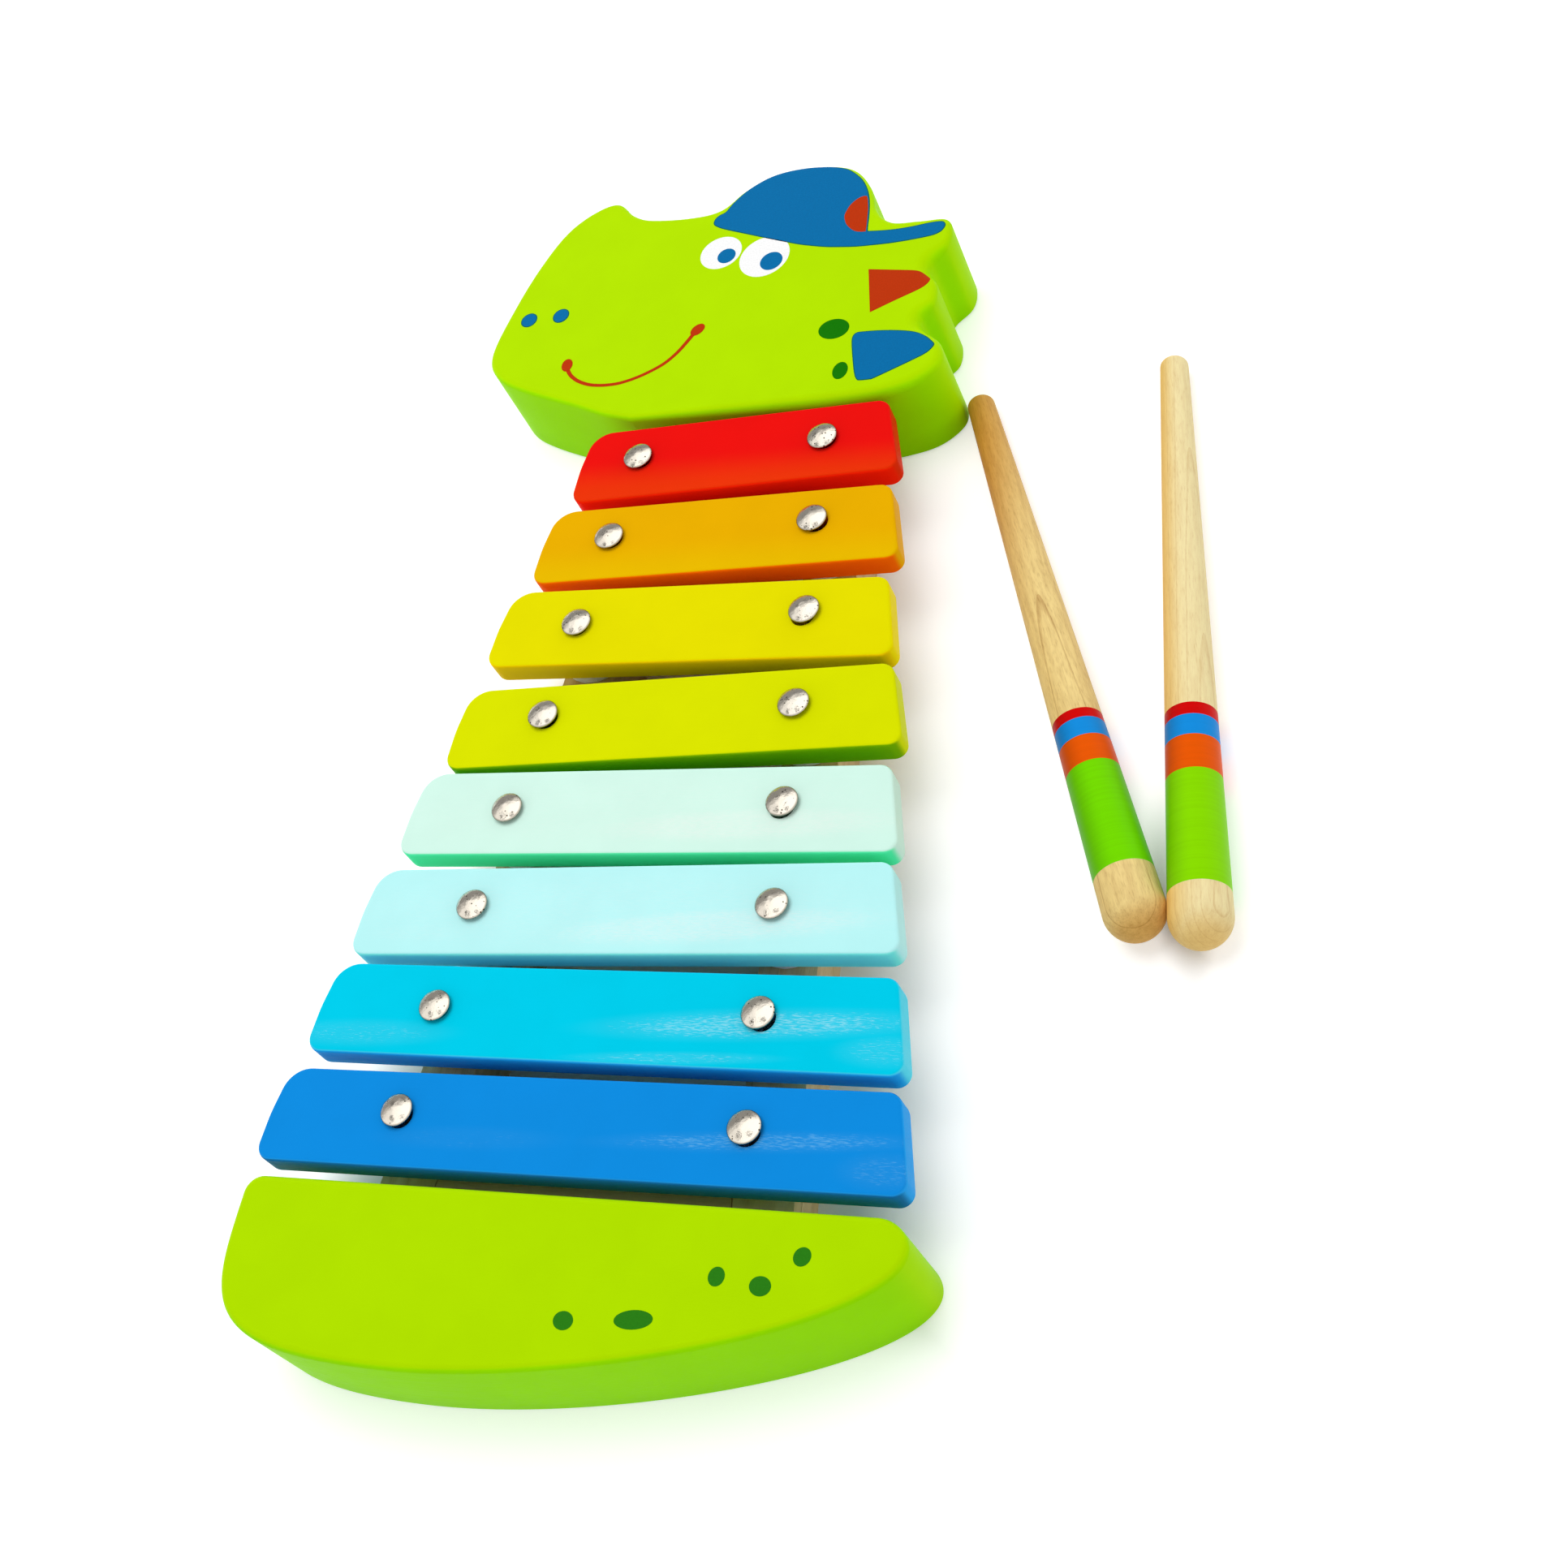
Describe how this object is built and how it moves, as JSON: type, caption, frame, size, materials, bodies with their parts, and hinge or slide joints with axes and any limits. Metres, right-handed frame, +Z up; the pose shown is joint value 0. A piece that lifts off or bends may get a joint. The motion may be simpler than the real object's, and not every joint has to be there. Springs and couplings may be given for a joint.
{
  "type": "toy xylophone",
  "caption": "Wooden toy xylophone with tapered painted bars over converging rails, between a dinosaur head block and a tail block, with turned mallets.",
  "frame": {"origin": "on the floor under the tail block, on the centre line, a little behind the block's straight face", "axes": "+Y along the centre line from tail to head, +X towards the mallets, +Z up"},
  "size_m": [0.2456, 0.3866, 0.0336],
  "materials": {
    "green_paint": "satin paint",
    "red_paint": "satin paint",
    "orange_paint": "satin paint",
    "yellow_paint": "satin paint",
    "lime_paint": "satin paint",
    "mint_paint": "satin paint",
    "light_blue_paint": "satin paint",
    "cyan_paint": "satin paint",
    "blue_paint": "satin paint",
    "beech": "bare, sanded",
    "mallet_wood": "clear lacquer with painted bands",
    "felt": "pressed felt",
    "nickel_plate": "polished nickel plate"
  },
  "bodies": {
    "frame": {"head_block": "green_paint", "tail_block": "green_paint", "head_cross_piece": "beech", "tail_cross_piece": "beech", "rail_left": "beech", "rail_right": "beech", "head_dowel_left": "beech", "head_dowel_right": "beech", "tail_dowel_left": "beech", "tail_dowel_right": "beech", "washer_left_1": "felt", "washer_left_2": "felt", "washer_left_3": "felt", "washer_left_4": "felt", "washer_left_5": "felt", "washer_left_6": "felt", "washer_left_7": "felt", "washer_left_8": "felt", "washer_right_1": "felt", "washer_right_2": "felt", "washer_right_3": "felt", "washer_right_4": "felt", "washer_right_5": "felt", "washer_right_6": "felt", "washer_right_7": "felt", "washer_right_8": "felt", "nail_left_1": "nickel_plate", "nail_left_2": "nickel_plate", "nail_left_3": "nickel_plate", "nail_left_4": "nickel_plate", "nail_left_5": "nickel_plate", "nail_left_6": "nickel_plate", "nail_left_7": "nickel_plate", "nail_left_8": "nickel_plate", "nail_right_1": "nickel_plate", "nail_right_2": "nickel_plate", "nail_right_3": "nickel_plate", "nail_right_4": "nickel_plate", "nail_right_5": "nickel_plate", "nail_right_6": "nickel_plate", "nail_right_7": "nickel_plate", "nail_right_8": "nickel_plate"},
    "bar_red": {"bar_red": "red_paint"},
    "bar_orange": {"bar_orange": "orange_paint"},
    "bar_yellow": {"bar_yellow": "yellow_paint"},
    "bar_lime": {"bar_lime": "lime_paint"},
    "bar_mint": {"bar_mint": "mint_paint"},
    "bar_light_blue": {"bar_light_blue": "light_blue_paint"},
    "bar_cyan": {"bar_cyan": "cyan_paint"},
    "bar_blue": {"bar_blue": "blue_paint"},
    "mallet_left": {"mallet_left": "mallet_wood"},
    "mallet_right": {"mallet_right": "mallet_wood"}
  },
  "joints": [
    {"name": "bar_red_play", "type": "slide", "parent": "frame", "child": "bar_red", "axis": [0, 0, 1], "range_m": [0, 0.0007]},
    {"name": "bar_orange_play", "type": "slide", "parent": "frame", "child": "bar_orange", "axis": [0, 0, 1], "range_m": [0, 0.0007]},
    {"name": "bar_yellow_play", "type": "slide", "parent": "frame", "child": "bar_yellow", "axis": [0, 0, 1], "range_m": [0, 0.0007]},
    {"name": "bar_lime_play", "type": "slide", "parent": "frame", "child": "bar_lime", "axis": [0, 0, 1], "range_m": [0, 0.0007]},
    {"name": "bar_mint_play", "type": "slide", "parent": "frame", "child": "bar_mint", "axis": [0, 0, 1], "range_m": [0, 0.0007]},
    {"name": "bar_light_blue_play", "type": "slide", "parent": "frame", "child": "bar_light_blue", "axis": [0, 0, 1], "range_m": [0, 0.0007]},
    {"name": "bar_cyan_play", "type": "slide", "parent": "frame", "child": "bar_cyan", "axis": [0, 0, 1], "range_m": [0, 0.0007]},
    {"name": "bar_blue_play", "type": "slide", "parent": "frame", "child": "bar_blue", "axis": [0, 0, 1], "range_m": [0, 0.0007]},
    {"name": "mallet_left_lift", "type": "slide", "parent": "frame", "child": "mallet_left", "axis": [0, 0, 1], "range_m": [0, 0.12]},
    {"name": "mallet_right_lift", "type": "slide", "parent": "frame", "child": "mallet_right", "axis": [0, 0, 1], "range_m": [0, 0.12]}
  ]
}
